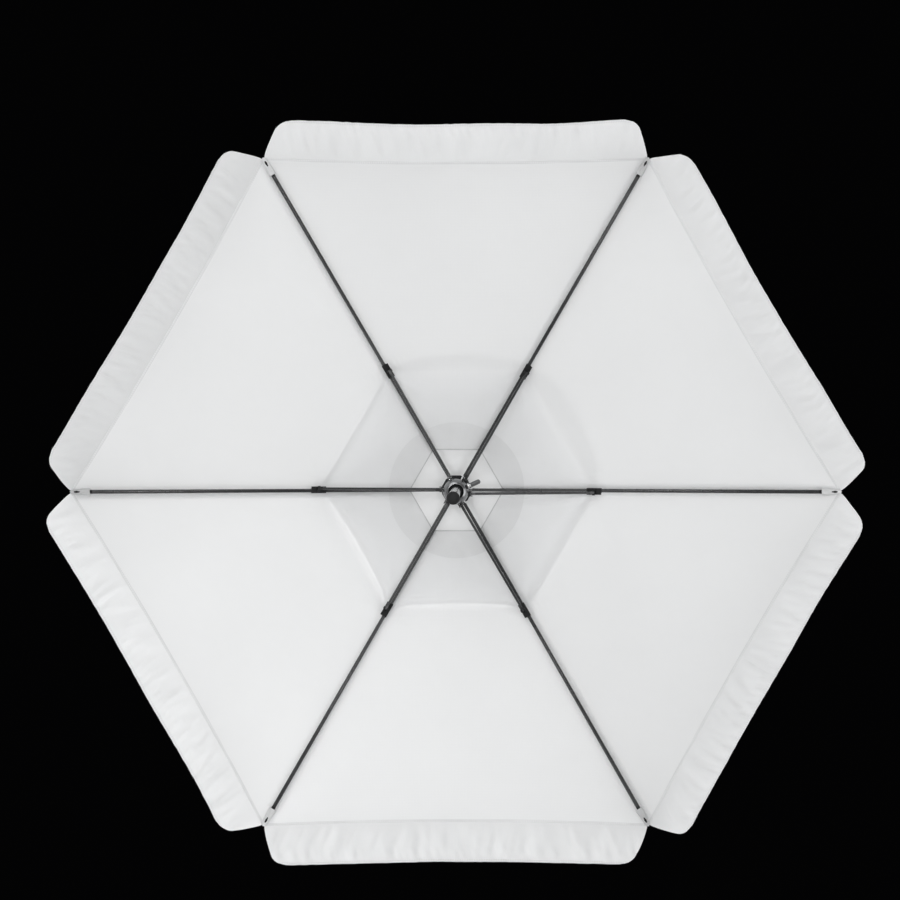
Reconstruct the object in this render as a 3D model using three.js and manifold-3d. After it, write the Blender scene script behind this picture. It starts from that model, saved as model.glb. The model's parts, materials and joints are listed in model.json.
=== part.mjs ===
// Upper section of a six-rib garden parasol, shown open: pole, crown, ribs with stretchers, a runner with
// its clamp screw, and a white canopy in two tiers with a valance. Millimetres, +Z up.
// Origin: centre of the flat lower face of the pole's end plug. The first rib points along +X.

import * as THREE from 'three';
import { mergeVertices } from 'three/addons/utils/BufferGeometryUtils.js';
import Module from 'manifold-3d';

const wasm = await Module();
wasm.setup();

const radians = THREE.MathUtils.degToRad;

// ---- Driving dimensions ----

const ribCount = 6;
const sector = 2 * Math.PI / ribCount;
const gap = 0.3;                     // left between pieces that touch

const rimRadius = 1200;              // pole axis to a corner of the canopy's rim
const ribSlope = radians(20);        // below the horizontal, canopy open
const pivotRadius = 46;              // rib pivots at the crown and stretcher feet at the runner
const crownPivotHeight = 1160;

const poleRadius = 14;
const poleWall = 1.5;
const poleTop = 1172;

const rib = { width: 12, depth: 16, wall: 1.2, end: 1160, tipLength: 52 };
const stretcher = { width: 9, depth: 12, wall: 1.2, offset: 7 };
const bracketPin = { along: 457.6, drop: 17.5, radius: 2.5, hole: 2.9 };

const fabric = { thickness: 1.2, lift: 10, seam: 0.6 };
const ventOpeningRadius = 168;
const ventCap = { radius: 478, apexRadius: 24, apexHeight: 1192.5, lift: 16, thickness: 1.4 };
const valance = { height: 160, flare: radians(16), hang: 1.5, endGap: 4, taper: 66, corner: 35 };

// ---- Sizes that follow ----

const apothem = rimRadius * Math.cos(sector / 2);
const goreSlope = Math.atan(Math.tan(ribSlope) / Math.cos(sector / 2));
const rimHeight = crownPivotHeight - (rimRadius - pivotRadius) * Math.tan(ribSlope)
  + fabric.lift / Math.cos(ribSlope);

// The stretcher pin, seen from the rib's pivot: the stretcher is as long as this reach, so that its foot
// stays on the line straight below the rib's pivot and turns twice as fast as the rib.
const pinX = bracketPin.along * Math.cos(ribSlope) - bracketPin.drop * Math.sin(ribSlope);
const pinZ = -bracketPin.along * Math.sin(ribSlope) - bracketPin.drop * Math.cos(ribSlope);
const stretcherLength = Math.hypot(pinX, pinZ);
const stretcherSlope = Math.atan2(-pinZ, pinX);
const runnerHeight = crownPivotHeight + 2 * pinZ;

// ---- Finishes ----

const finishes = {
  charcoalSteel: { color: 0x3c3d40, roughness: 0.38, metalness: 0.85 },
  silverAlloy: { color: 0xb9bbbd, roughness: 0.3, metalness: 0.9 },
  brightSteel: { color: 0xd6d7d8, roughness: 0.18, metalness: 1 },
  blackPlastic: { color: 0x17181a, roughness: 0.45, metalness: 0 },
  greyPlastic: { color: 0x55585b, roughness: 0.4, metalness: 0 },
  whiteFabric: { color: 0xe9eaec, roughness: 0.9, metalness: 0 },
};

function piece(name, geometry, finish) {
  const mesh = new THREE.Mesh(geometry, new THREE.MeshStandardMaterial(finishes[finish]));
  mesh.name = name;
  return mesh;
}

// ---- Shaping helpers ----

function toSolid(geometry) {
  const bare = geometry.clone();
  bare.deleteAttribute('normal');
  bare.deleteAttribute('uv');
  const merged = mergeVertices(bare);
  const corners = merged.index.array;
  const kept = [];
  for (let k = 0; k < corners.length; k += 3) {
    const [a, b, c] = [corners[k], corners[k + 1], corners[k + 2]];
    if (a !== b && b !== c && c !== a) kept.push(a, b, c);
  }
  const vertProperties = merged.attributes.position.array;
  return new wasm.Manifold(new wasm.Mesh({ numProp: 3, vertProperties, triVerts: new Uint32Array(kept) }));
}

function toGeometry(solid) {
  const mesh = solid.getMesh();
  const geometry = new THREE.BufferGeometry();
  geometry.setAttribute('position', new THREE.BufferAttribute(mesh.vertProperties, 3));
  geometry.setIndex(new THREE.BufferAttribute(mesh.triVerts, 1));
  return geometry;
}

function join(...parts) {
  return toGeometry(parts.map(toSolid).reduce((whole, part) => whole.add(part)));
}

function cut(body, ...tools) {
  return toGeometry(tools.map(toSolid).reduce((whole, tool) => whole.subtract(tool), toSolid(body)));
}

// A turned piece about Z. The profile lists radius and height, anticlockwise from the bottom of the axis.
function turned(profile, segments = 32, start = 0) {
  const points = profile.map(([radius, height]) => new THREE.Vector2(radius, height));
  return new THREE.LatheGeometry(points, segments, start).rotateX(Math.PI / 2);
}

// The same for a profile that closes on itself away from the axis.
function turnedRing(profile, segments = 32, start = 0) {
  return turned([...profile, profile[0]], segments, start);
}

// The same about X, for pieces whose axis points out from the pole.
function turnedAlongX(profile, segments = 20) {
  return turned(profile, segments).rotateY(Math.PI / 2);
}

// A box between two corners.
function block([x0, y0, z0], [x1, y1, z1]) {
  const box = new THREE.BoxGeometry(x1 - x0, y1 - y0, z1 - z0);
  return box.translate((x0 + x1) / 2, (y0 + y1) / 2, (z0 + z1) / 2);
}

// A round bar along Y.
function barAlongY(radius, y0, y1, x = 0, z = 0, segments = 12) {
  return new THREE.CylinderGeometry(radius, radius, y1 - y0, segments).translate(x, (y0 + y1) / 2, z);
}

// A flat-sided oval, wide along Y and deep along X, as an outline.
function ovalOutline(outline, width, depth) {
  const radius = width / 2;
  const reach = (depth - width) / 2;
  outline.absarc(reach, 0, radius, -Math.PI / 2, Math.PI / 2, false);
  outline.absarc(-reach, 0, radius, Math.PI / 2, Math.PI * 1.5, false);
  return outline;
}

// A flat-sided oval bar or tube along X.
function ovalAlongX(width, depth, from, to, wall = 0) {
  const shape = ovalOutline(new THREE.Shape(), width, depth);
  if (wall > 0) shape.holes.push(ovalOutline(new THREE.Path(), width - 2 * wall, depth - 2 * wall));
  const bar = new THREE.ExtrudeGeometry(shape, { depth: to - from, bevelEnabled: false, curveSegments: 3 });
  return bar.rotateY(Math.PI / 2).translate(from, 0, 0);
}

// ---- Pole ----

function buildPole(parent) {
  const plugFlange = 4;
  const plugDepth = 26;
  const inner = poleRadius - poleWall;
  parent.add(piece('pole', turnedRing([
    [inner, plugFlange + gap], [poleRadius, plugFlange + gap], [poleRadius, poleTop], [inner, poleTop],
  ]), 'silverAlloy'));
  parent.add(piece('pole_end_plug', turned([
    [0, 0], [poleRadius - 1, 0], [poleRadius, 1], [poleRadius, plugFlange], [inner - gap, plugFlange],
    [inner - gap, plugDepth], [0, plugDepth],
  ]), 'blackPlastic'));
}

// ---- Crown ----

const crown = { radius: 55, low: 1148, high: 1171, neckRadius: 28, neckTop: 1188, skirtRadius: 20, skirtLow: 1138 };
const ringWire = 1.3;

function buildCrown(parent) {
  const stemRadius = 8;
  const stemFloor = 1179;
  const hub = turned([
    [0, crown.skirtLow], [crown.skirtRadius, crown.skirtLow],
    [crown.skirtRadius + 2, crown.low], [crown.radius - 2, crown.low], [crown.radius, crown.low + 3],
    [crown.radius, crown.high - 2], [crown.radius - 2, crown.high], [crown.neckRadius, crown.high],
    [crown.neckRadius, crown.neckTop], [0, crown.neckTop],
  ], 12, Math.PI / 12);
  const poleBore = turned([
    [0, crown.skirtLow - 1], [poleRadius + gap, crown.skirtLow - 1], [poleRadius + gap, poleTop + 0.5],
    [0, poleTop + 0.5],
  ]);
  const stemBore = turned([
    [0, stemFloor], [stemRadius + gap, stemFloor], [stemRadius + gap, crown.neckTop + 1], [0, crown.neckTop + 1],
  ], 24);
  const wireGroove = turnedRing([
    [pivotRadius - 1.9, crownPivotHeight - 1.7], [pivotRadius + 1.9, crownPivotHeight - 1.7],
    [pivotRadius + 1.9, crown.high + 1], [pivotRadius - 1.9, crown.high + 1],
  ], 36);
  const slotSide = rib.width / 2 + 0.6;
  const slots = [];
  for (let i = 0; i < ribCount; i += 1) {
    const slot = block([pivotRadius - 9, -slotSide, crown.low - 1], [crown.radius + 2, slotSide, crown.high + 1]);
    slots.push(slot.rotateZ(i * sector));
  }
  parent.add(piece('crown_hub', cut(hub, poleBore, stemBore, wireGroove, ...slots), 'blackPlastic'));

  const wire = new THREE.TorusGeometry(pivotRadius, ringWire, 6, 36).translate(0, 0, crownPivotHeight);
  parent.add(piece('crown_wire_ring', wire, 'brightSteel'));

  parent.add(piece('crown_cap', turned([
    [0, stemFloor + 1], [stemRadius, stemFloor + 1], [stemRadius, 1195.6], [24, 1195.6], [36, 1192.4], [36, 1194.4], [34, 1197],
    [27, 1201], [17, 1204.5], [7, 1206.5], [0, 1207],
  ], 24), 'blackPlastic'));
}

// ---- Runner: black notched collar with its sleeve, silver bell below, and the clamp boss ----

const clampHeight = runnerHeight - 30;
const clampAngle = radians(-24);
const boss = { radius: 7, reach: 41, bore: 3.4 };

// A piece made along X at the pole's axis, turned to the clamp's direction and height.
function atClamp(geometry) {
  return geometry.rotateZ(clampAngle).translate(0, 0, clampHeight);
}

function buildRunner(parent) {
  const sleeveBore = poleRadius + 1;
  const sleeveRadius = 19;
  const coreRadius = 38;
  const top = runnerHeight + 6;
  const bottom = runnerHeight - 9;
  const core = turnedRing([
    [sleeveBore, runnerHeight - 41], [sleeveRadius, runnerHeight - 41], [sleeveRadius + 1, bottom],
    [coreRadius, bottom], [coreRadius, top - 2], [coreRadius - 2, top], [sleeveRadius + 3, top + 2],
    [sleeveRadius, top + 12], [sleeveBore, top + 12],
  ], 24);
  const cheekGap = stretcher.width / 2 + 1.5;
  const cheekOuter = cheekGap + 2.6;
  const cheeks = [];
  for (let i = 0; i < ribCount; i += 1) {
    for (const side of [-1, 1]) {
      const low = stretcher.offset + Math.min(side * cheekGap, side * cheekOuter);
      const high = stretcher.offset + Math.max(side * cheekGap, side * cheekOuter);
      const plate = block([32, low, runnerHeight - 8], [pivotRadius, high, runnerHeight + 5.5]);
      const roundEnd = barAlongY(6.75, low, high, pivotRadius, runnerHeight - 1.25);
      cheeks.push(join(plate, roundEnd).rotateZ(i * sector));
    }
  }
  const bossBar = atClamp(turnedAlongX([[0, 16.5], [boss.radius, 16.5], [boss.radius, boss.reach], [0, boss.reach]]));
  const bossBore = atClamp(turnedAlongX([[0, 5], [boss.bore, 5], [boss.bore, 50], [0, 50]], 12));
  const collar = cut(join(core, bossBar, ...cheeks), bossBore);
  parent.add(piece('runner_collar', collar, 'blackPlastic'));

  const z = runnerHeight;
  const bell = turnedRing([
    [23.4, z - 45], [25.4, z - 46], [27.5, z - 44.6], [32.5, z - 39.5], [36.7, z - 32], [39.4, z - 23],
    [40.5, z - 15], [40.5, z - 9.4], [38.6, z - 9.4], [38.6, z - 15], [37.5, z - 22.4], [35, z - 30.8],
    [31, z - 37.8], [26.5, z - 42.4],
  ], 32);
  const bossHole = atClamp(turnedAlongX([[0, 26], [boss.radius + gap, 26], [boss.radius + gap, 44], [0, 44]]));
  parent.add(piece('runner_bell', cut(bell, bossHole), 'silverAlloy'));

  const nutHex = atClamp(turnedAlongX([[0, 41.4], [9, 41.4], [9, 46.6], [0, 46.6]], 6));
  const nutBore = atClamp(turnedAlongX([[0, 40], [boss.bore, 40], [boss.bore, 48], [0, 48]], 12));
  parent.add(piece('clamp_nut', cut(nutHex, nutBore), 'brightSteel'));
}

function buildClamp(parent) {
  const tip = poleRadius + 0.4;
  parent.add(piece('clamp_screw', atClamp(turnedAlongX([
    [0, tip], [2.2, tip], [3, tip + 1], [3, 47.4], [4.6, 47.8], [4.6, 50], [3, 50.4], [3, 58.6], [0, 58.6],
  ], 12)), 'brightSteel'));
  parent.add(piece('clamp_knob', atClamp(turnedAlongX([
    [0, 59], [3.3, 59], [3.3, 51], [6.2, 51], [7.5, 52.5], [7.5, 77], [6.9, 80.4], [5.2, 82.8], [2.6, 83.8], [0, 84],
  ], 18)), 'greyPlastic'));
}

// ---- One rib and what is fixed to it, in a frame with X down the rib, Y sideways and Z square to it ----

function ribGeometry() {
  const root = 26;
  const tongueHalf = 2.5;
  const tube = ovalAlongX(rib.width, rib.depth, 14, rib.end, rib.wall);
  const plug = ovalAlongX(rib.width - rib.wall, rib.depth - rib.wall, 14.5, root);
  const tongue = block([0, -tongueHalf, -7], [20, tongueHalf, 7]);
  const eye = barAlongY(7, -tongueHalf, tongueHalf);
  return cut(join(tube, plug, tongue, eye), barAlongY(2.1, -4, 4));
}

function ribTipGeometry() {
  const start = rib.end + gap;
  const end = rib.end + rib.tipLength;
  const tip = turnedAlongX([
    [0, start - 22], [4.3, start - 22], [4.3, start], [6, start], [6, start + 12], [4.2, end - 8],
    [2.4, end - 1.5], [0, end],
  ], 10);
  return tip.scale(1, 1, rib.depth / rib.width);
}

function bracketGeometry() {
  const half = 25;
  const side = rib.width / 2 + 0.4;
  const outerSide = side + 2.1;
  const under = -rib.depth / 2 - 0.4;
  const webLow = under - 2.2;
  const earInner = stretcher.width / 2 + 0.4;
  const earOuter = earInner + 2.4;
  const earHalf = 7;
  const pinDrop = -bracketPin.drop;
  const parts = [
    block([-half, -outerSide, webLow], [half, stretcher.offset + earOuter, under]),
    block([-half, -outerSide, webLow], [half, -side, 4]),
    block([-half, side, webLow], [half, outerSide, 4]),
  ];
  for (const end of [-1, 1]) {
    const low = stretcher.offset + Math.min(end * earInner, end * earOuter);
    const high = stretcher.offset + Math.max(end * earInner, end * earOuter);
    parts.push(block([-earHalf, low, pinDrop], [earHalf, high, webLow + 0.5]));
    parts.push(barAlongY(earHalf, low, high, 0, pinDrop));
  }
  const pinHole = barAlongY(bracketPin.hole, -20, 30, 0, pinDrop);
  return cut(join(...parts), pinHole);
}

function rivetGeometry() {
  const grip = stretcher.width / 2 + 0.4 + 2.4 + gap;
  const head = grip + 1.8;
  const pin = bracketPin.radius;
  return turned([
    [0, -head], [4, -head], [5, -head + 0.8], [5, -grip], [pin, -grip], [pin, grip], [5, grip],
    [5, head - 0.8], [4, head], [0, head],
  ], 10).rotateX(-Math.PI / 2).translate(0, stretcher.offset, -bracketPin.drop);
}

function buildRib(parent, number) {
  const frame = new THREE.Group();
  frame.position.set(pivotRadius, 0, crownPivotHeight);
  frame.rotation.y = ribSlope;
  parent.add(frame);

  frame.add(piece(`rib_${number}`, ribGeometry(), 'charcoalSteel'));
  frame.add(piece(`rib_tip_${number}`, ribTipGeometry(), 'blackPlastic'));
  const bracket = piece(`rib_bracket_${number}`, bracketGeometry(), 'blackPlastic');
  const rivet = piece(`bracket_rivet_${number}`, rivetGeometry(), 'charcoalSteel');
  for (const part of [bracket, rivet]) {
    part.position.x = bracketPin.along;
    frame.add(part);
  }
}

// ---- One stretcher, in a frame with its origin at the bracket pin and X down to its foot ----

function stretcherGeometry() {
  const { width, depth, wall } = stretcher;
  const half = width / 2;
  const footRadius = 4.8;
  const plugEnd = 24;
  const foot = stretcherLength;
  const tube = ovalAlongX(width, depth, 16, foot - 16, wall);
  const parts = [
    tube,
    ovalAlongX(width - wall, depth - wall, 16.5, plugEnd),
    block([0, -half, -5], [18, half, 5]),
    barAlongY(5, -half, half),
    ovalAlongX(width - wall, depth - wall, foot - plugEnd, foot - 16.5),
    block([foot - 18, -half, -footRadius], [foot, half, footRadius]),
    barAlongY(footRadius, -half, half, foot),
    barAlongY(2.4, -half - 1.2, half + 1.2, foot),
  ];
  const pinHole = barAlongY(bracketPin.hole, -half - 1, half + 1);
  const drainHole = barAlongY(1.5, -half - 1, 0, plugEnd + 8, 0, 8);
  return cut(join(...parts), pinHole, drainHole);
}

function buildStretcher(parent, number) {
  const mesh = piece(`stretcher_${number}`, stretcherGeometry(), 'charcoalSteel');
  mesh.position.set(pivotRadius + pinX, stretcher.offset, crownPivotHeight + pinZ);
  mesh.rotation.y = -(Math.PI + stretcherSlope);
  parent.add(mesh);
}

// ---- Canopy ----

// A flat sheet of fabric: the outline's X runs along the rim, its Y along the slope, its Z is the outside.
function sheet(outline, thickness, origin, slopeUp) {
  const geometry = new THREE.ExtrudeGeometry(outline, { depth: thickness, bevelEnabled: false, curveSegments: 3 });
  const alongRim = new THREE.Vector3(0, 1, 0);
  const outside = new THREE.Vector3().crossVectors(alongRim, slopeUp);
  const placing = new THREE.Matrix4().makeBasis(alongRim, slopeUp, outside).setPosition(origin);
  return geometry.applyMatrix4(placing);
}

// A gore between two ribs, from the rim up to the vent opening. X points at the middle of its rim.
function goreGeometry() {
  const { thickness, seam } = fabric;
  const innerApothem = ventOpeningRadius * Math.cos(sector / 2);
  const slopeLength = (apothem - innerApothem) / Math.cos(goreSlope);
  const halfRim = rimRadius / 2 - seam;
  const halfVent = ventOpeningRadius / 2 - seam;
  const outline = new THREE.Shape();
  outline.moveTo(-halfRim, 0);
  outline.lineTo(halfRim, 0);
  outline.lineTo(halfVent, slopeLength);
  outline.lineTo(-halfVent, slopeLength);
  const slopeUp = new THREE.Vector3(-Math.cos(goreSlope), 0, Math.sin(goreSlope));
  return sheet(outline, thickness, new THREE.Vector3(apothem, 0, rimHeight), slopeUp);
}

// Half of a valance flap, from the middle of the rim to the rib on the given side.
function valanceGeometry(side) {
  const { height, flare, hang, endGap, taper, corner } = valance;
  const middle = 0.4;
  const topEnd = rimRadius / 2 - endGap;
  const lowEnd = topEnd - taper;
  const lean = Math.atan2(taper, height - hang);
  const outline = new THREE.Shape();
  outline.moveTo(side * middle, -hang);
  outline.lineTo(side * middle, -height);
  const arcX = lowEnd - corner * Math.tan(Math.PI / 4 - lean / 2);
  const arcY = -height + corner;
  const arcEnd = side > 0 ? -lean : Math.PI + lean;
  outline.absarc(side * arcX, arcY, corner, -Math.PI / 2, arcEnd, side < 0);
  outline.lineTo(side * topEnd, -hang);
  const slopeUp = new THREE.Vector3(-Math.sin(flare), 0, Math.cos(flare));
  return sheet(outline, fabric.thickness, new THREE.Vector3(apothem, 0, rimHeight), slopeUp);
}

function buildGore(parent, number) {
  parent.add(piece(`canopy_gore_${number}`, goreGeometry(), 'whiteFabric'));
  parent.add(piece(`valance_${number}_right`, valanceGeometry(-1), 'whiteFabric'));
  parent.add(piece(`valance_${number}_left`, valanceGeometry(1), 'whiteFabric'));
}

// The upper tier: a six-sided cone that starts under the crown cap and overlaps the vent opening.
function buildVentCap(parent) {
  const { radius, apexRadius, apexHeight, lift, thickness } = ventCap;
  const rimLow = crownPivotHeight - (radius - pivotRadius) * Math.tan(ribSlope) + lift / Math.cos(ribSlope);
  parent.add(piece('vent_cap', turnedRing([
    [apexRadius, apexHeight], [radius, rimLow], [radius, rimLow + thickness], [apexRadius, apexHeight + thickness],
  ], ribCount, Math.PI / 2), 'whiteFabric'));
}

// ---- Assembly ----

const parasol = new THREE.Group();
buildPole(parasol);
buildCrown(parasol);
buildRunner(parasol);
buildClamp(parasol);
buildVentCap(parasol);
for (let i = 0; i < ribCount; i += 1) {
  const ribSector = new THREE.Group();
  ribSector.rotation.z = i * sector;
  parasol.add(ribSector);
  buildRib(ribSector, i + 1);
  buildStretcher(ribSector, i + 1);

  const goreSector = new THREE.Group();
  goreSector.rotation.z = (i + 0.5) * sector;
  parasol.add(goreSector);
  buildGore(goreSector, i + 1);
}

export default parasol;
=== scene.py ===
import json
import math

import bmesh
import bpy
from mathutils import Matrix, Vector, noise


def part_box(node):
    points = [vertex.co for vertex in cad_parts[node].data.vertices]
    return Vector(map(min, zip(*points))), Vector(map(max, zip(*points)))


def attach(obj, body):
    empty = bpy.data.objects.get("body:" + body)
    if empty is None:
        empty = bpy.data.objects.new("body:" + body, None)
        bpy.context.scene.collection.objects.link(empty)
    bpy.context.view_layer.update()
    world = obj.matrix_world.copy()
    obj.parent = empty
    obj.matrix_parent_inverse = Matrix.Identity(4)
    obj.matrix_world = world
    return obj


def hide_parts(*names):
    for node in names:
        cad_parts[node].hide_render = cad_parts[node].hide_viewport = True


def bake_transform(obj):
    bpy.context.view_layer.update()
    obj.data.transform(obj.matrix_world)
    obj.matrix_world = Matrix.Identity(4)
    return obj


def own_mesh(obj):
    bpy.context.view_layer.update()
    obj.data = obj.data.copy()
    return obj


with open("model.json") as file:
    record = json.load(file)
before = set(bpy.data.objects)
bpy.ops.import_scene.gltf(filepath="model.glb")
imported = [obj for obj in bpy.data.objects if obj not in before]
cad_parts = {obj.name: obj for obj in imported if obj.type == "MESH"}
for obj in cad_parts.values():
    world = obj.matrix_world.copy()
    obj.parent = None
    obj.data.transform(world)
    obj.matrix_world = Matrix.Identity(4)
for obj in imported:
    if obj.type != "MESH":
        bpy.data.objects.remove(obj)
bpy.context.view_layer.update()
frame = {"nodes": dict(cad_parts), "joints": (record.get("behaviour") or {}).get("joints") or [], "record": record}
print("frame loaded")

# where things are, in metres, taken from the frame

joints = {j["name"]: j for j in frame["joints"]}
ribCount = 6
sector = 2 * math.pi / ribCount
ribSlope = math.radians(20)
crownPivot = Vector(joints["rib_1_fold"]["pos_m"])        # first rib's pivot at the crown
bracketPivot = Vector(joints["stretcher_1_fold"]["pos_m"])
clampPoint = Vector(joints["clamp_turn"]["pos_m"])
clampAxis = Vector(joints["clamp_turn"]["axis"]).normalized()
rimCorner = Vector(joints["valance_6_left_lift"]["pos_m"])  # the rim's corner on the first rib
rimRadius = rimCorner.x
rimHeight = rimCorner.z
apothem = rimRadius * math.cos(sector / 2)
goreSlope = math.atan(math.tan(ribSlope) / math.cos(sector / 2))
runnerHeight = 2 * bracketPivot.z - crownPivot.z
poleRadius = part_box("pole")[1].x
capLow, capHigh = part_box("vent_cap")


def ribPoint(number, s, t, n):
    # s runs down the rib from its pivot at the crown, t sideways, n square to the rib
    turn = (number - 1) * sector
    x = crownPivot.x + s * math.cos(ribSlope) + n * math.sin(ribSlope)
    z = crownPivot.z - s * math.sin(ribSlope) + n * math.cos(ribSlope)
    return Vector((x * math.cos(turn) - t * math.sin(turn), x * math.sin(turn) + t * math.cos(turn), z))


def ribOnSide(number, side):
    # the rib at one side of a gore: side -1 is the gore's own rib, +1 the next one
    return number if side < 0 else number % ribCount + 1


def tagOf(number, side):
    return f"{number}_{'right' if side < 0 else 'left'}"


def turned(number, d, y, z):
    # a place in a gore's own axes, d square to the rim and y along it, turned to where the gore is
    turn = (number - 0.5) * sector
    return Vector((d * math.cos(turn) - y * math.sin(turn), d * math.sin(turn) + y * math.cos(turn), z))


# mesh helpers

def newPiece(name, verts, faces, material, uvs=None, smooth=True):
    mesh = bpy.data.meshes.new(name)
    mesh.from_pydata([tuple(v) for v in verts], [], faces)
    if uvs:
        layer = mesh.uv_layers.new(name="weave")
        for loop in mesh.loops:
            layer.data[loop.index].uv = uvs[loop.vertex_index]
    mesh.polygons.foreach_set("use_smooth", [smooth] * len(mesh.polygons))
    mesh.materials.append(material)
    piece = bpy.data.objects.new(name, mesh)
    bpy.context.scene.collection.objects.link(piece)
    return piece


def sheetGrid(name, columns, rows, pointAt, material, flip=False):
    # a sheet of cloth over u and v from 0 to 1; pointAt gives the place and the weave coordinates
    verts, uvs, faces = [], [], []
    for j in range(rows + 1):
        for i in range(columns + 1):
            place, weave = pointAt(i / columns, j / rows)
            verts.append(place)
            uvs.append(weave)
    for j in range(rows):
        for i in range(columns):
            a = j * (columns + 1) + i
            quad = (a, a + 1, a + columns + 2, a + columns + 1)
            faces.append(quad[::-1] if flip else quad)
    return newPiece(name, verts, faces, material, uvs)


def lathe(name, profile, material, segments=64, ripple=None):
    # profile is radius and height about Z, from the bottom of the axis round to the top
    verts, faces, rings = [], [], []
    for radius, height in profile:
        if radius < 1e-6:
            rings.append([len(verts)])
            verts.append((0, 0, height))
            continue
        ring = []
        for k in range(segments):
            angle = 2 * math.pi * k / segments
            r = radius + (ripple(angle, height) if ripple else 0)
            ring.append(len(verts))
            verts.append((r * math.cos(angle), r * math.sin(angle), height))
        rings.append(ring)
    pairs = list(zip(rings, rings[1:]))
    if len(rings[0]) > 1 and len(rings[-1]) > 1:
        pairs.append((rings[-1], rings[0]))
    for low, high in pairs:
        for k in range(segments):
            m = (k + 1) % segments
            face = [low[k % len(low)], low[m % len(low)], high[m % len(high)], high[k % len(high)]]
            face = [v for n, v in enumerate(face) if v not in face[:n]]
            if len(face) > 2:
                faces.append(face)
    return newPiece(name, verts, faces, material)


def sharpen(piece, degrees=35):
    piece.data.set_sharp_from_angle(angle=math.radians(degrees))
    return piece


def edged(piece, width, segments=2):
    bevel = piece.modifiers.new("edges", "BEVEL")
    bevel.width = width
    bevel.segments = segments
    bevel.limit_method = "ANGLE"
    bevel.angle_limit = math.radians(40)
    bevel.harden_normals = True
    return piece


def fromNode(node, material, width):
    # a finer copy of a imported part: rounded edges and smooth curves on the same solid
    source = frame["nodes"][node]
    mesh = bmesh.new()
    mesh.from_mesh(source.data)
    bmesh.ops.remove_doubles(mesh, verts=mesh.verts, dist=2e-5)
    bmesh.ops.dissolve_limit(mesh, angle_limit=math.radians(1), verts=mesh.verts, edges=mesh.edges)
    data = bpy.data.meshes.new(node + "_fine")
    mesh.to_mesh(data)
    mesh.free()
    data.materials.clear()
    data.materials.append(material)
    data.polygons.foreach_set("use_smooth", [True] * len(data.polygons))
    data.set_sharp_from_angle(angle=math.radians(35))
    piece = bpy.data.objects.new(node + "_fine", data)
    bpy.context.scene.collection.objects.link(piece)
    if width:
        edged(piece, width)
    return piece


# materials

def startMaterial(name):
    material = bpy.data.materials.new(name)
    material.use_nodes = True
    tree = material.node_tree
    return material, tree, tree.nodes["Principled BSDF"]


def addNode(tree, kind, **values):
    node = tree.nodes.new(kind)
    for key, value in values.items():
        if hasattr(node, key):
            setattr(node, key, value)
        else:
            node.inputs[key.replace("_", " ")].default_value = value
    return node


def addNoise(tree, vector, scale, detail=3.0):
    node = addNode(tree, "ShaderNodeTexNoise", Scale=scale, Detail=detail)
    tree.links.new(vector, node.inputs["Vector"])
    return node.outputs["Fac"]


def addRamp(tree, fac, low, high, start=0.3, end=0.7):
    ramp = tree.nodes.new("ShaderNodeValToRGB")
    ramp.color_ramp.elements[0].position = start
    ramp.color_ramp.elements[1].position = end
    ramp.color_ramp.elements[0].color = (*low, 1)
    ramp.color_ramp.elements[1].color = (*high, 1)
    tree.links.new(fac, ramp.inputs["Fac"])
    return ramp.outputs["Color"]


def addRange(tree, fac, low, high):
    node = addNode(tree, "ShaderNodeMapRange", To_Min=low, To_Max=high)
    tree.links.new(fac, node.inputs["Value"])
    return node.outputs["Result"]


def addBump(tree, height, strength, distance):
    node = addNode(tree, "ShaderNodeBump", Strength=strength, Distance=distance)
    tree.links.new(height, node.inputs["Height"])
    return node.outputs["Normal"]


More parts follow.
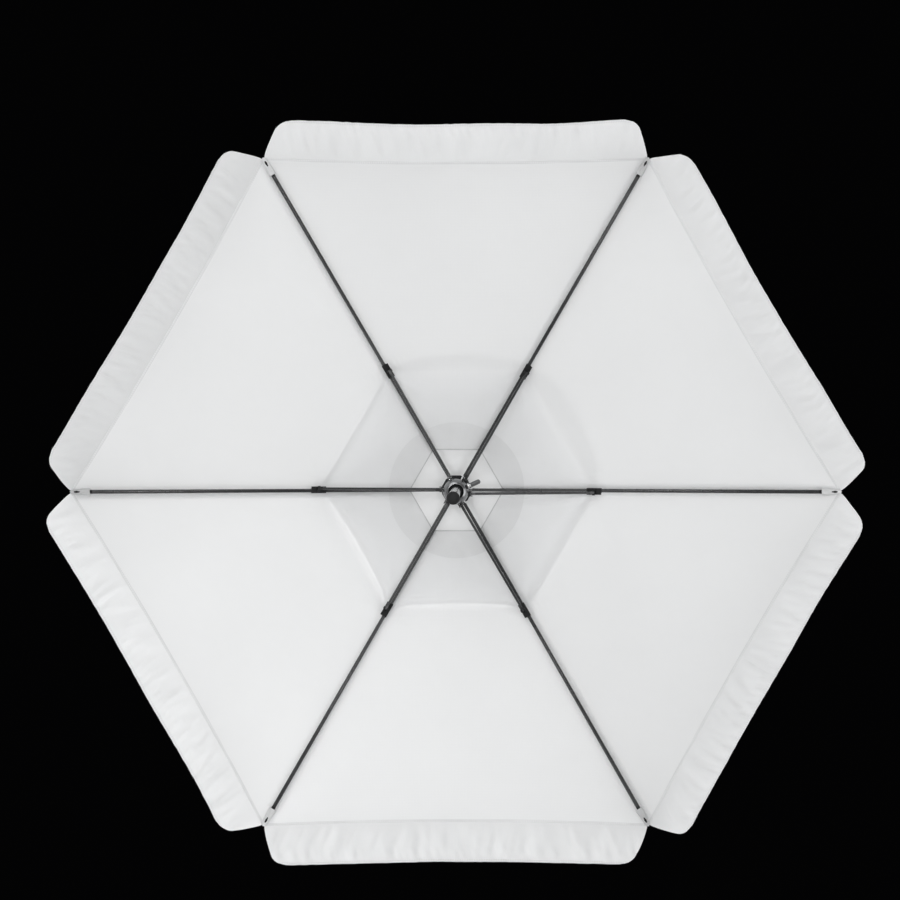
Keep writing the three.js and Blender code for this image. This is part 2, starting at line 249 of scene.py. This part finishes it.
def cloth(name, look):
    # plain-woven polyester: threads across and along, a little uneven, and light comes through
    material, tree, shader = startMaterial(name)
    uv = tree.nodes.new("ShaderNodeTexCoord").outputs["UV"]
    place = tree.nodes.new("ShaderNodeTexCoord").outputs["Object"]
    threads = []
    for direction in ("X", "Y"):
        wave = addNode(tree, "ShaderNodeTexWave", bands_direction=direction, Distortion=0.6, Detail=1.0,
                       Scale=look["threadsPerMetre"] / 20)
        tree.links.new(uv, wave.inputs["Vector"])
        threads.append(wave.outputs["Fac"])
    weave = addNode(tree, "ShaderNodeMath", operation="MULTIPLY")
    tree.links.new(threads[0], weave.inputs[0])
    tree.links.new(threads[1], weave.inputs[1])
    cloud = addNoise(tree, place, look["cloudScale"], 4.0)
    colour = addRamp(tree, cloud, look["shade"], look["colour"])
    fleck = addNode(tree, "ShaderNodeMix", data_type="RGBA", blend_type="MULTIPLY")
    fleck.inputs["Factor"].default_value = look["weaveDepth"]
    tree.links.new(colour, fleck.inputs["A"])
    threadShade = addRamp(tree, weave.outputs[0], (0.8, 0.8, 0.8), (1, 1, 1), 0.0, 0.5)
    tree.links.new(threadShade, fleck.inputs["B"])
    crumple = addNoise(tree, place, look["crumpleScale"], 2.0)
    normal = addBump(tree, weave.outputs[0], 0.3, look["threadHeight"])
    soft = addNode(tree, "ShaderNodeBump", Strength=look["crumple"], Distance=0.004)
    tree.links.new(crumple, soft.inputs["Height"])
    tree.links.new(normal, soft.inputs["Normal"])
    shader.inputs["Roughness"].default_value = 0.85
    shader.inputs["Specular IOR Level"].default_value = 0.25
    shader.inputs["Sheen Weight"].default_value = 0.12
    shader.inputs["Sheen Roughness"].default_value = 0.5
    through = tree.nodes.new("ShaderNodeBsdfTranslucent")
    mix = tree.nodes.new("ShaderNodeMixShader")
    mix.inputs["Fac"].default_value = look["through"]
    tree.links.new(fleck.outputs["Result"], shader.inputs["Base Color"])
    tree.links.new(fleck.outputs["Result"], through.inputs["Color"])
    tree.links.new(soft.outputs["Normal"], shader.inputs["Normal"])
    tree.links.new(soft.outputs["Normal"], through.inputs["Normal"])
    tree.links.new(shader.outputs[0], mix.inputs[1])
    tree.links.new(through.outputs[0], mix.inputs[2])
    tree.links.new(mix.outputs[0], tree.nodes["Material Output"].inputs["Surface"])
    return material


def hard(name, look):
    # metal or moulded plastic: a fine skin, uneven gloss and rubbed patches
    material, tree, shader = startMaterial(name)
    shader.inputs["Specular IOR Level"].default_value = look.get("shine", 0.5)
    place = tree.nodes.new("ShaderNodeTexCoord").outputs["Object"]
    stretch = addNode(tree, "ShaderNodeMapping")
    stretch.inputs["Scale"].default_value = look["grain"]
    tree.links.new(place, stretch.inputs["Vector"])
    grain = addNoise(tree, stretch.outputs[0], 1.0, 4.0)
    wear = addNoise(tree, place, look["wearScale"], 5.0)
    rubbed = addRamp(tree, wear, look["colour"], look["worn"], 0.45, 0.75)
    tree.links.new(rubbed, shader.inputs["Base Color"])
    tree.links.new(addRange(tree, grain, look["gloss"][0], look["gloss"][1]), shader.inputs["Roughness"])
    tree.links.new(addBump(tree, grain, look["bump"], 0.0003), shader.inputs["Normal"])
    shader.inputs["Metallic"].default_value = look["metal"]
    shader.inputs["Coat Weight"].default_value = look.get("coat", 0.0)
    shader.inputs["Coat Roughness"].default_value = 0.2
    return material


clothLooks = {
    "canopyCloth": dict(colour=(0.86, 0.863, 0.868), shade=(0.838, 0.841, 0.846), through=0.42,
                        threadsPerMetre=1400, threadHeight=0.00025, weaveDepth=0.14, cloudScale=2.6,
                        crumpleScale=11.0, crumple=0.14),
    # the facing lets less light through than the canopy cloth, and its colour is darkened as painted shade for the
    # doubled layers round the vent
    "facingClothPaintedShade": dict(colour=(0.8, 0.802, 0.806), shade=(0.78, 0.782, 0.786), through=0.34,
                        threadsPerMetre=1400, threadHeight=0.00025, weaveDepth=0.14, cloudScale=6.0,
                        crumpleScale=16.0, crumple=0.2),
    # the valance is the same white cloth as the canopy; its darker colour is painted shade that holds the brightly
    # lit flaps down
    "valanceClothPaintedShade": dict(colour=(0.8, 0.802, 0.806), shade=(0.772, 0.774, 0.778), through=0.38,
                         threadsPerMetre=1400, threadHeight=0.00025, weaveDepth=0.14, cloudScale=5.0,
                         crumpleScale=26.0, crumple=0.3),
    # the vent hem is the same white cloth; its dark colour is a painted shadow along the edge of the vent opening
    "hemCordPaintedShadow": dict(colour=(0.6, 0.602, 0.606), shade=(0.52, 0.522, 0.526), through=0.08, threadsPerMetre=900,
                    threadHeight=0.0004, weaveDepth=0.4, cloudScale=40.0, crumpleScale=60.0, crumple=0.25),
    # the folded hems let less light through than the canopy cloth; their colour is darker too, as painted shade of
    # the folded layers
    "hemTapePaintedShade": dict(colour=(0.8, 0.803, 0.808), shade=(0.76, 0.763, 0.768), through=0.2, threadsPerMetre=900,
                    threadHeight=0.0004, weaveDepth=0.4, cloudScale=12.0, crumpleScale=60.0, crumple=0.25),
}
hardLooks = {
    "charcoalSteel": dict(colour=(0.014, 0.0145, 0.0155), worn=(0.028, 0.0285, 0.03), gloss=(0.2, 0.3),
                          metal=0.1, grain=(700, 700, 700), wearScale=14.0, bump=0.1, coat=0.3, shine=0.4),
    "silverAlloy": dict(colour=(0.36, 0.362, 0.368), worn=(0.46, 0.462, 0.47), gloss=(0.16, 0.28), metal=1.0,
                        grain=(900, 900, 12), wearScale=9.0, bump=0.06),
    # the bell is silver alloy like the pole; its darker colour is painted shade for the dark surroundings it
    # reflects
    "bellAlloyPaintedShade": dict(colour=(0.2, 0.202, 0.206), worn=(0.28, 0.282, 0.288), gloss=(0.14, 0.24), metal=1.0,
                      grain=(900, 900, 60), wearScale=30.0, bump=0.05),
    "brightSteel": dict(colour=(0.72, 0.73, 0.74), worn=(0.6, 0.6, 0.59), gloss=(0.12, 0.26), metal=1.0,
                        grain=(1200, 1200, 1200), wearScale=60.0, bump=0.05),
    "blackPlastic": dict(colour=(0.006, 0.0062, 0.0066), worn=(0.012, 0.0122, 0.0126), gloss=(0.5, 0.65),
                         metal=0.0, grain=(1500, 1500, 1500), wearScale=35.0, bump=0.18, shine=0.2),
    "greyPlastic": dict(colour=(0.05, 0.051, 0.054), worn=(0.08, 0.081, 0.084), gloss=(0.3, 0.42), metal=0.0,
                        grain=(1400, 1400, 1400), wearScale=45.0, bump=0.15),
}
finish = {name: cloth(name, look) for name, look in clothLooks.items()}
finish.update({name: hard(name, look) for name, look in hardLooks.items()})
print("materials made")

# each piece of cloth rides on the rib it hangs from, with its own copy of its mesh


def gatherOnRib(piece, rib):
    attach(piece, f"rib_{rib}")
    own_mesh(piece)


# canopy

canopy = dict(ventRadius=0.168, hemBow=0.015, sag=0.010, ripple=0.0022, ripplesPerMetre=4.5, lift=0.0006,
              spacing=0.9, flat=(0.6, 0.975), flatArea=0.333, columns=44, rows=64)
ventD = canopy["ventRadius"] * math.cos(sector / 2)

# each ray is an angle from straight outwards and the fold's share of the height
crease = dict(height=0.014, radius=0.470, reach=0.42, spread=0.10, widen=0.18, fade=0.16, start=0.05,
              rays=((2.05, 1.0), (-2.0, 0.9), (2.6, -0.7), (-2.55, -0.6), (1.3, 0.5), (-1.35, 0.5)))
crinkle = dict(height=0.0030, reach=0.34, coarse=16, fine=34, fineShare=0.45)


def creases(x, y):
    # short folds that run out from where the upper tier is tied to each rib
    height = 0.0
    for k in range(ribCount):
        knot = Vector((crease["radius"], 0, 0))
        knot.rotate(Matrix.Rotation(k * sector, 3, "Z"))
        dx, dy = x - knot.x, y - knot.y
        away = math.hypot(dx, dy)
        if away > crease["reach"] or away < 1e-6:
            continue
        angle = math.atan2(dy, dx) - k * sector
        angle = (angle + math.pi) % (2 * math.pi) - math.pi
        spread = crease["spread"] + crease["widen"] * away
        fade = math.exp(-away / crease["fade"])
        grow = min(1, away / crease["start"])
        for ray, weight in crease["rays"]:
            height += weight * math.exp(-((angle - ray) / spread) ** 2) * fade * grow
    return height


def crinkles(x, y):
    # small uneven puckers round the crown, where the cloth is gathered and sewn double
    near = max(0.0, 1 - math.hypot(x, y) / crinkle["reach"])
    coarse = noise.noise(Vector((x * crinkle["coarse"], y * crinkle["coarse"], 7.7)))
    fine = noise.noise(Vector((x * crinkle["fine"], y * crinkle["fine"], 1.3)))
    return crinkle["height"] * (coarse + crinkle["fineShare"] * fine) * min(1, near * 3)


def canopyPoint(number, d, y, lift=0.0):
    # a place on the main tier, flat beside the ribs; lift is outwards from the cloth
    half = max(d * math.tan(sector / 2), 1e-6)
    across = max(0.0, 1 - (y / half) ** 2)
    flat = turned(number, d, y, 0)
    hollow = canopy["sag"] * across * (0.25 + 0.75 * d / apothem)
    often = canopy["ripplesPerMetre"]
    swell = noise.noise(Vector((flat.x * often, flat.y * often, 3.1)))
    ripple = canopy["ripple"] * swell * min(1, across * 3)
    fold = crease["height"] * 0.5 * creases(flat.x, flat.y) * min(1, across * 4)
    pucker = crinkles(flat.x, flat.y) * min(1, across * 5)
    height = rimHeight + (apothem - d) * math.tan(goreSlope) - hollow + ripple + fold + pucker
    return turned(number, d + lift * math.sin(goreSlope), y, height + lift * math.cos(goreSlope))


def rimDistance(y):
    # the rim curves inwards a little between the ribs
    return apothem - canopy["hemBow"] * (1 - (2 * y / rimRadius) ** 2)


def halfGore(number, side):
    def pointAt(u, v):
        reach = u ** canopy["spacing"]
        rimY = side * reach * rimRadius / 2
        d = rimDistance(rimY) * (1 - v) + ventD * v
        y = side * reach * d * math.tan(sector / 2)
        return canopyPoint(number, d, y, canopy["lift"]), (y, (apothem - d) / math.cos(goreSlope))

    rib = ribOnSide(number, side)
    piece = sheetGrid(f"gore_{tagOf(number, side)}", canopy["columns"], canopy["rows"], pointAt,
                      finish["canopyCloth"], flip=side < 0)
    gatherOnRib(piece, rib)
    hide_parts(f"canopy_gore_{number}")


rimHem = dict(width=0.007, drop=-0.0008)
ventTrim = dict(radius=0.242, drop=-0.0010, flat=(0.115, 0.1), flatShare=0.84, hem=0.004, hemDrop=-0.0022)
ribTrim = dict(width=0.025, narrow=0.3, drop=-0.0006, length=1.058, low=0.004, high=0.002)


def halfTrim(number, side):
    # what is sewn under each half gore: the rim seam, the vent's round facing and hem, and the rib seam
    rib = ribOnSide(number, side)
    tag = tagOf(number, side)

    def rimSeamAt(u, v):
        rimY = side * u * rimRadius / 2
        d = rimDistance(rimY) - rimHem["width"] * v
        y = max(-d, min(d, rimY / math.tan(sector / 2))) * math.tan(sector / 2)
        return canopyPoint(number, d, y, rimHem["drop"]), (y, d)

    def facingAt(u, v):
        angle = side * u * sector / 2
        inner = ventD / math.cos(angle)
        r = inner + (ventTrim["radius"] - inner) * v
        place = canopyPoint(number, r * math.cos(angle), r * math.sin(angle), ventTrim["drop"])
        return place, (angle * 0.2, r)

    def ventHemAt(u, v):
        d = ventD + ventTrim["hem"] * v
        y = side * u * d * math.tan(sector / 2)
        return canopyPoint(number, d, y, ventTrim["hemDrop"]), (y, d)

    seamWidth = ribTrim["width"] if side > 0 else ribTrim["width"] * ribTrim["narrow"]

    def ribSeamAt(u, v):
        d = ventD + ribTrim["low"] + (apothem - ribTrim["low"] - ribTrim["high"] - ventD) * u
        y = side * (d * math.tan(sector / 2) - seamWidth * v / math.cos(sector / 2))
        return canopyPoint(number, d, y, ribTrim["drop"]), (y, d)

    # the rim seam's darker colour is painted shade of the folded hem
    rimSeam = sheetGrid(f"rimSeam_{tag}", 30, 3, rimSeamAt, finish["hemTapePaintedShade"], flip=side < 0)
    # the facing's darker colour is painted shade for the doubled layers round the vent
    facing = sheetGrid(f"ventFacing_{tag}", 14, 8, facingAt, finish["facingClothPaintedShade"], flip=side > 0)
    # the vent hem's dark colour is a painted shadow along the opening's edge
    ventHem = sheetGrid(f"ventHem_{tag}", 10, 2, ventHemAt, finish["hemCordPaintedShadow"], flip=side > 0)
    ribSeam = sheetGrid(f"ribSeam_{tag}", 60, 3, ribSeamAt, finish["canopyCloth"], flip=side < 0)
    for piece in (rimSeam, facing, ventHem, ribSeam):
        gatherOnRib(piece, rib)


for number in range(1, ribCount + 1):
    for side in (-1, 1):
        halfGore(number, side)
        halfTrim(number, side)
print("main tier sewn")

# upper tier over the vent

tier = dict(collarD=0.095, bow=0.004, rise=0.022, edge=0.010, edgeDrop=-0.0009, apexRadius=0.024,
            inset=0.0007, flat=(0.239, 0.345), flatArea=0.0505, topFlat=(0.055, 0.08), topArea=0.0027,
            stillRadius=0.028, foldRadius=0.088, columns=30, rows=34)
capApothem = capHigh.x * math.cos(sector / 2)
capApexD = tier["apexRadius"] * math.cos(sector / 2)
capRimZ = capLow.z + tier["inset"]
capApexZ = capHigh.z - tier["inset"]
capTilt = (capApexZ - capRimZ) / (capApothem - capApexD)


def tierPoint(number, d, y, lift=0.0):
    half = max(d * math.tan(sector / 2), 1e-6)
    across = max(0.0, 1 - (y / half) ** 2)
    out = d / capApothem
    flat = turned(number, d, y, 0)
    puff = tier["rise"] * across * out ** 1.6
    fold = crease["height"] * creases(flat.x, flat.y) * min(1, across * 5) * min(1, out * 1.5)
    pucker = crinkles(flat.y, flat.x) * min(1, across * 5)
    return turned(number, d, y, capRimZ + (capApothem - d) * capTilt + puff + fold + pucker + lift)


def tierEdge(y):
    return capApothem - tier["bow"] * (1 - (y / (capApothem * math.tan(sector / 2))) ** 2)


def halfTier(number, side):
    rib = ribOnSide(number, side)
    tag = tagOf(number, side)

    def outerAt(u, v):
        rimY = side * u * capApothem * math.tan(sector / 2)
        d = tierEdge(rimY) * (1 - v) + tier["collarD"] * v
        y = side * u * d * math.tan(sector / 2)
        return tierPoint(number, d, y), (y, d)

    def collarAt(u, v):
        d = tier["collarD"] * (1 - v) + capApexD * v
        y = side * u * d * math.tan(sector / 2)
        return tierPoint(number, d, y), (y, d)

    def hemAt(u, v):
        rimY = side * u * capApothem * math.tan(sector / 2)
        d = tierEdge(rimY) - tier["edge"] * v
        y = side * u * d * math.tan(sector / 2)
        return tierPoint(number, d, y, tier["edgeDrop"]), (y, d)

    outer = sheetGrid(f"upperTier_{tag}", tier["columns"], tier["rows"], outerAt, finish["canopyCloth"],
                      flip=side < 0)
    # the tier hem's darker colour is painted shade of the folded hem
    edge = sheetGrid(f"upperTierHem_{tag}", tier["columns"], 2, hemAt, finish["hemTapePaintedShade"], flip=side < 0)
    collar = sheetGrid(f"upperTierTop_{tag}", 10, 12, collarAt, finish["canopyCloth"], flip=side < 0)
    for piece in (outer, edge):
        gatherOnRib(piece, rib)
    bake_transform(collar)
    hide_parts("vent_cap")


for number in range(1, ribCount + 1):
    for side in (-1, 1):
        halfTier(number, side)
print("upper tier sewn")

# valance

valance = dict(height=0.160, flareDeg=16, taper={-1: 0.084, 1: 0.069}, endGap=0.005, corner=0.035,
               hemWidth=0.010, hemDrop=-0.0011, wrinkle=0.0064, pucker=0.0040, curl=0.010, curlReach=0.12,
               flatWidth=0.6, flatArea=0.0895, hemLength=0.53, columns=110, rows=20)


def valanceOutline(x, v, side):
    # the flap's flat cut: x from the middle to the end, v down; returns x after the taper and rounding
    end = rimRadius / 2 - valance["endGap"]
    drop = v * valance["height"]
    edgeX = end - valance["taper"][side] * v ** 1.15
    corner = valance["corner"]
    over = drop - (valance["height"] - corner)
    if over > 0:
        edgeX -= corner - math.sqrt(max(corner ** 2 - over ** 2, 0))
    return x * edgeX / (rimRadius / 2), drop


def valancePoint(number, side, x, drop, lift=0.0):
    flare = math.radians(valance["flareDeg"])
    along = x * side
    seed = number * 7.3
    fall = drop / valance["height"]
    middle = math.sin(math.pi * min(1, fall)) ** 0.8
    skew = along * 24 + fall * 1.3 * noise.noise(Vector((along * 5, 0, seed + 2)))
    ruffle = noise.noise(Vector((skew, drop * 7, seed)))
    ruffle += 0.5 * noise.noise(Vector((skew * 2.1, drop * 12, seed + 4)))
    broad = noise.noise(Vector((along * 4, drop * 2, seed + 9)))
    puckers = noise.noise(Vector((along * 62 + 2.5 * fall, drop * 9, seed + 13)))
    nearHem = math.exp(-((fall - 0.80) / 0.17) ** 2)
    puff = valance["wrinkle"] * (ruffle * middle + 0.9 * broad * fall) + valance["pucker"] * puckers * nearHem
    ends = max(0, (x - rimRadius / 2 + valance["curlReach"]) / valance["curlReach"])
    puff -= valance["curl"] * ends ** 2 * drop / valance["height"]
    rim = canopyPoint(number, rimDistance(along), along * 0.9999, 0.0)
    turn = (number - 0.5) * sector
    out = Vector((math.cos(turn), math.sin(turn), 0))
    down = out * math.sin(flare) - Vector((0, 0, math.cos(flare)))
    square = out * math.cos(flare) + Vector((0, 0, math.sin(flare)))
    return rim + down * drop + square * (puff + lift)


def halfValance(number, side):
    tag = tagOf(number, side)
    body = f"valance_{tag}"

    def flapAt(u, v):
        x, drop = valanceOutline(u * rimRadius / 2, v, side)
        return valancePoint(number, side, x, drop), (side * x, drop)

    def hemAt(u, v):
        x, drop = valanceOutline(u * rimRadius / 2, 1 - v * valance["hemWidth"] / valance["height"], side)
        return valancePoint(number, side, x, drop, valance["hemDrop"]), (side * x, drop)

    # the flaps' darker colour is painted shade
    flap = sheetGrid(f"flap_{tag}", valance["columns"], valance["rows"], flapAt, finish["valanceClothPaintedShade"],
                     flip=side > 0)
    # the flap hem's darker colour is painted shade of the folded hem
    edge = sheetGrid(f"flapHem_{tag}", valance["columns"], 3, hemAt, finish["hemTapePaintedShade"], flip=side > 0)
    for piece in (flap, edge):
        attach(piece, body)
        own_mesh(piece)
    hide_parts(body)


for number in range(1, ribCount + 1):
    for side in (-1, 1):
        halfValance(number, side)
print("valance hung")

# corner pockets over the rib tips

pocket = dict(start=1.166, end=1.222, mouth=(0.0112, 0.0100), tail=(0.0062, 0.0030), rise=0.006, top=0.0093,
              flat=(0.067, 0.056), flatArea=0.0031, columns=32, rows=16)


def cornerPocket(rib):
    verts, uvs, faces = [], [], []
    columns, rows = pocket["columns"], pocket["rows"]
    for j in range(rows + 1):
        v = j / rows
        s = pocket["start"] + (pocket["end"] - pocket["start"]) * v
        shrink = v ** 1.8
        halfWide = pocket["mouth"][0] * (1 - shrink) + pocket["tail"][0] * shrink
        halfDeep = pocket["mouth"][1] * (1 - shrink) + pocket["tail"][1] * shrink
        centre = pocket["rise"] * shrink
        for i in range(columns):
            angle = 2 * math.pi * i / columns
            pucker = 1 + 0.035 * math.sin(angle * 7 + v * 5) * (1 - v)
            pucker += 0.03 * noise.noise(Vector((angle * 2, v * 9, rib)))
            t = halfWide * math.cos(angle) * pucker
            n = centre + halfDeep * math.sin(angle) * pucker
            verts.append(ribPoint(rib, s, t, min(n, pocket["top"])))
            uvs.append((angle * 0.012, s))
    for j in range(rows):
        for i in range(columns):
            a, b = j * columns + i, j * columns + (i + 1) % columns
            faces.append((a, b, b + columns, a + columns))
    faces.append(tuple(rows * columns + i for i in range(columns)))
    # the pockets take the valance cloth, whose darker colour is painted shade
    piece = newPiece(f"cornerPocket_{rib}", verts, faces, finish["valanceClothPaintedShade"], uvs)
    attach(piece, f"rib_{rib}")


for rib in range(1, ribCount + 1):
    cornerPocket(rib)
print("pockets sewn")

# hard parts

smoothNodes = dict(crown_hub=("blackPlastic", 0.0006), runner_collar=("blackPlastic", 0.0005),
                   clamp_nut=("brightSteel", 0.0005), crown_wire_ring=("brightSteel", 0))
for rib in range(1, ribCount + 1):
    smoothNodes[f"rib_{rib}"] = ("charcoalSteel", 0.0003)
    smoothNodes[f"rib_tip_{rib}"] = ("blackPlastic", 0.0004)
    smoothNodes[f"rib_bracket_{rib}"] = ("blackPlastic", 0.0006)
    smoothNodes[f"bracket_rivet_{rib}"] = ("charcoalSteel", 0.0003)
    smoothNodes[f"stretcher_{rib}"] = ("charcoalSteel", 0.0003)
bodies = frame["record"]["behaviour"]["bodies"]
bodyOf = {node: body for body, members in bodies.items() for node in members}


def place(piece, node, skin):
    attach(piece, bodyOf[node])
    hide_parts(node)


for node, (skin, width) in smoothNodes.items():
    place(fromNode(node, finish[skin], width), node, skin)


def outwards(piece):
    # a piece made along Z at the pole's axis, laid along the clamp's direction
    turn = clampAxis.to_track_quat("Z", "Y").to_matrix().to_4x4()
    piece.data.transform(Matrix.Translation((0, 0, clampPoint.z)) @ turn)
    return piece


def poleParts():
    low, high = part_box("pole")
    inner = poleRadius - 0.0015
    wall = [(inner, low.z), (inner + 0.0004, low.z - 0.0001), (poleRadius - 0.0003, low.z - 0.0001),
            (poleRadius, low.z + 0.0003), (poleRadius, high.z), (inner, high.z)]
    place(sharpen(lathe("poleTube", wall, finish["silverAlloy"], 72)), "pole", "silverAlloy")
    plug = [(0, 0), (0.0085, 0), (0.009, 0.0006), (0.0096, 0.0006), (0.0102, 0), (0.0122, 0),
            (0.0136, 0.0005), (poleRadius, 0.0014), (poleRadius, 0.004), (0.0122, 0.004), (0.0122, 0.026),
            (0, 0.026)]
    place(sharpen(lathe("poleEndPlug", plug, finish["blackPlastic"], 72)), "pole_end_plug", "blackPlastic")


def runnerBell():
    # heights are from the middle of the runner; a hole is cut for the clamp boss
    z = runnerHeight
    outer = [(0.0234, -0.0450), (0.0238, -0.0457), (0.0247, -0.0460), (0.0257, -0.0457), (0.0264, -0.0450)]
    steps = 18
    for k in range(1, steps + 1):
        a = k / steps * math.pi / 2
        outer.append((0.0264 + 0.0141 * math.sin(a) ** 0.9, -0.0450 + 0.0310 * (1 - math.cos(a)) ** 0.85))
    outer += [(0.0405, -0.0100), (0.0402, -0.0095), (0.0390, -0.0094), (0.0386, -0.0100), (0.0384, -0.0145)]
    inner = [(r - 0.0021, h + 0.0014) for r, h in reversed(outer[5:5 + steps - 1])]
    profile = [(r, z + h) for r, h in outer + inner]
    # the bell's darker colour is painted shade in place of the dark surroundings it reflects
    bell = lathe("runnerBell", profile, finish["bellAlloyPaintedShade"], 96)
    cutter = outwards(lathe("bossHole", [(0, 0.026), (0.0073, 0.026), (0.0073, 0.044), (0, 0.044)],
                            finish["silverAlloy"], 32))
    cut = bell.modifiers.new("hole", "BOOLEAN")
    cut.operation = "DIFFERENCE"
    cut.object = cutter
    cut.solver = "EXACT"
    bpy.context.view_layer.update()
    done = bpy.data.meshes.new_from_object(bell.evaluated_get(bpy.context.evaluated_depsgraph_get()))
    bell.modifiers.clear()
    bell.data = done
    bpy.data.objects.remove(cutter)
    place(sharpen(bell, 40), "runner_bell", "silverAlloy")


def clampParts():
    shank = [(0, poleRadius + 0.0004), (0.0022, poleRadius + 0.0004), (0.0030, poleRadius + 0.0012)]
    h = poleRadius + 0.0020
    while h < 0.0462:
        shank += [(0.0030, h), (0.0026, h + 0.0005)]
        h += 0.0010
    shank += [(0.0030, 0.0474), (0.0046, 0.0478), (0.0046, 0.0500), (0.0030, 0.0504), (0.0030, 0.0586),
              (0, 0.0586)]
    screw = outwards(lathe("clampScrew", shank, finish["brightSteel"], 32))
    place(sharpen(screw, 50), "clamp_screw", "brightSteel")

    def flutes(angle, height):
        if not 0.0530 < height < 0.0800:
            return 0
        return -0.0005 * (0.5 + 0.5 * math.cos(angle * 10)) ** 3

    profile = [(0, 0.0590), (0.0033, 0.0590), (0.0033, 0.0512), (0.0037, 0.0510), (0.0060, 0.0510),
               (0.0071, 0.0516), (0.0075, 0.0528)]
    profile += [(0.0075, 0.0532 + 0.0012 * k) for k in range(20)]
    for k in range(1, 9):
        a = math.pi / 2 * k / 9
        profile.append((0.0075 * math.cos(a), 0.0773 + 0.0067 * math.sin(a)))
    profile.append((0, 0.0840))
    knob = outwards(lathe("clampKnob", profile, finish["greyPlastic"], 80, flutes))
    place(knob, "clamp_knob", "greyPlastic")


def crownCap():
    low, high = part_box("crown_cap")
    z = high.z
    profile = [(0, low.z), (0.008, low.z), (0.008, z - 0.0114), (0.024, z - 0.0114), (0.0355, z - 0.0146),
               (0.0362, z - 0.0142), (0.0362, z - 0.0128)]
    for k in range(1, 14):
        a = math.pi / 2 * k / 14
        profile.append((0.0362 * math.cos(a), z - 0.0126 + 0.0126 * math.sin(a)))
    profile.append((0, z))
    place(sharpen(lathe("crownCap", profile, finish["blackPlastic"], 72), 50), "crown_cap", "blackPlastic")


poleParts()
runnerBell()
clampParts()
crownCap()
print("hard parts finished")

# floor, light and camera

# distance is from the rim's height down to the camera, which looks straight up
view = dict(distance=2.300, offset=(0.0175, -0.0400), lens=29.6, shift=(-0.0127, 0.0322), floorDrop=0.25)
under = dict(count=3, startDeg=8, radius=2.4, height=0.7, size=2.4, power=31)


def addLight(name, place, aim, size, power, colour):
    data = bpy.data.lights.new(name, "AREA")
    data.shape = "DISK"
    data.size = size
    data.energy = power
    data.color = colour
    lamp = bpy.data.objects.new(name, data)
    lamp.location = place
    lamp.rotation_euler = (Vector(aim) - Vector(place)).to_track_quat("-Z", "Y").to_euler()
    lamp.visible_camera = False
    bpy.context.scene.collection.objects.link(lamp)


def studio():
    cameraZ = rimHeight - view["distance"]
    bpy.ops.mesh.primitive_plane_add(size=16, location=(0, 0, cameraZ - view["floorDrop"]))
    floor = bpy.context.object
    floor.name = "floor"
    floorLook = dict(colour=(0.72, 0.72, 0.71), worn=(0.68, 0.68, 0.675), gloss=(0.6, 0.8), metal=0.0,
                     grain=(40, 40, 40), wearScale=1.5, bump=0.02)
    floor.data.materials.append(hard("paleFloor", floorLook))

    world = bpy.data.worlds.new("studio")
    world.use_nodes = True
    nodes, links = world.node_tree.nodes, world.node_tree.links
    fill = nodes["Background"]
    fill.inputs["Color"].default_value = (0.98, 0.985, 0.99, 1)
    place = nodes.new("ShaderNodeTexCoord")
    height = nodes.new("ShaderNodeSeparateXYZ")
    level = addNode(world.node_tree, "ShaderNodeMath", operation="ABSOLUTE")
    glow = addNode(world.node_tree, "ShaderNodeMapRange", From_Max=0.6, To_Min=1.5, To_Max=0.06)
    links.new(place.outputs["Generated"], height.inputs[0])
    links.new(height.outputs["Z"], level.inputs[0])
    links.new(level.outputs[0], glow.inputs["Value"])
    links.new(glow.outputs["Result"], fill.inputs["Strength"])
    seen = nodes.new("ShaderNodeBackground")
    seen.inputs["Color"].default_value = (0.001, 0.001, 0.0011, 1)
    path = nodes.new("ShaderNodeLightPath")
    mix = nodes.new("ShaderNodeMixShader")
    links.new(path.outputs["Is Camera Ray"], mix.inputs[0])
    links.new(fill.outputs[0], mix.inputs[1])
    links.new(seen.outputs[0], mix.inputs[2])
    links.new(mix.outputs[0], nodes["World Output"].inputs["Surface"])
    bpy.context.scene.world = world
    bpy.context.scene.view_settings.view_transform = "Standard"

    centre = (0, 0, rimHeight + 0.2)
    addLight("sunLight", (-2.1, 2.6, 4.4), centre, 0.45, 98, (1.0, 0.998, 0.99))
    addLight("skyLight", (1.6, -2.0, 4.2), centre, 3.2, 46, (1.0, 0.998, 0.99))
    for k in range(under["count"]):
        angle = math.radians(360 / under["count"] * k + under["startDeg"])
        x, y = under["radius"] * math.cos(angle), under["radius"] * math.sin(angle)
        addLight(f"underLight{k}", (x, y, cameraZ + under["height"]), centre, under["size"], under["power"],
                 (0.99, 0.995, 1.0))
    addLight("ringLight", (-0.25, -0.35, cameraZ + 0.15), centre, 0.35, 10, (1, 1, 1))

    data = bpy.data.cameras.new("camera")
    data.lens = view["lens"]
    data.sensor_width = 36
    data.shift_x, data.shift_y = view["shift"]
    data.clip_end = 60
    camera = bpy.data.objects.new("camera", data)
    camera.location = (view["offset"][0], view["offset"][1], cameraZ)
    camera.rotation_euler = (math.pi, 0, 0)
    bpy.context.scene.collection.objects.link(camera)
    bpy.context.scene.camera = camera


studio()
print("studio ready")
